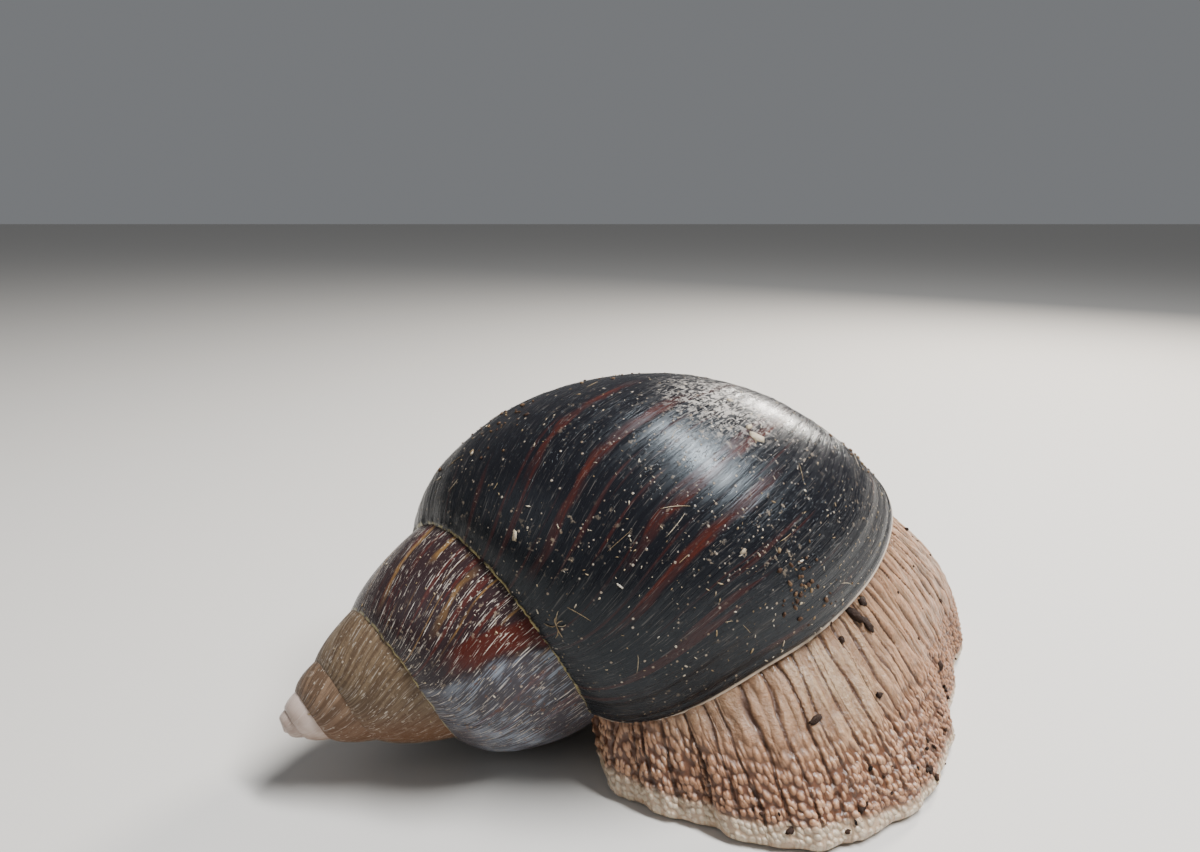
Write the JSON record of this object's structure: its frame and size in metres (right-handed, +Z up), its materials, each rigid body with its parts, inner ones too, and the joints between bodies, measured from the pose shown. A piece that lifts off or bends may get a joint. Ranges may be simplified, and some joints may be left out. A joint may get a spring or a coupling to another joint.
{
  "type": "giant african land snail",
  "caption": "Life-size still model of a giant land snail with a tall conical spiral shell, the foot spread on the floor and the head and feelers stretched forward.",
  "frame": {"origin": "on the floor, under the middle of the footprint", "axes": "+Z up; +Y the way the snail crawls, towards its head; +X towards the side where the tail's fan spreads, with the tip of the shell pointing to -X and -Y"},
  "size_m": [0.1362, 0.126, 0.0658],
  "materials": {
    "shell_dark": "near-black glossy shell with fine growth lines, dark red-brown streaks and pale specks",
    "shell_brown": "dark purple-brown shell with ochre streaks along the growth lines",
    "shell_tan": "khaki to tan shell with fine ribs, worn in places",
    "shell_tip": "worn pearly pinkish-white first whorls",
    "shell_rim": "thin pale edge of the shell opening",
    "skin": "wet, wrinkled pinkish-tan skin with brown grooves and a pale edge to the foot",
    "eye": "small glossy black eye at the tip of each upper feeler"
  },
  "bodies": {
    "root": {"shell_body_whorl": "shell_dark", "shell_penultimate_whorl": "shell_brown", "shell_third_whorl": "shell_tan", "shell_fourth_whorl": "shell_tan", "shell_apex": "shell_tip", "shell_lip": "shell_rim", "mantle_collar": "skin", "tail": "skin", "foot": "skin", "neck": "skin", "head": "skin", "tentacle_upper_left": "skin", "tentacle_upper_right": "skin", "eye_left": "eye", "eye_right": "eye", "tentacle_lower_left": "skin", "tentacle_lower_right": "skin", "mouth_palp_left": "skin", "mouth_palp_right": "skin"}
  },
  "joints": []
}
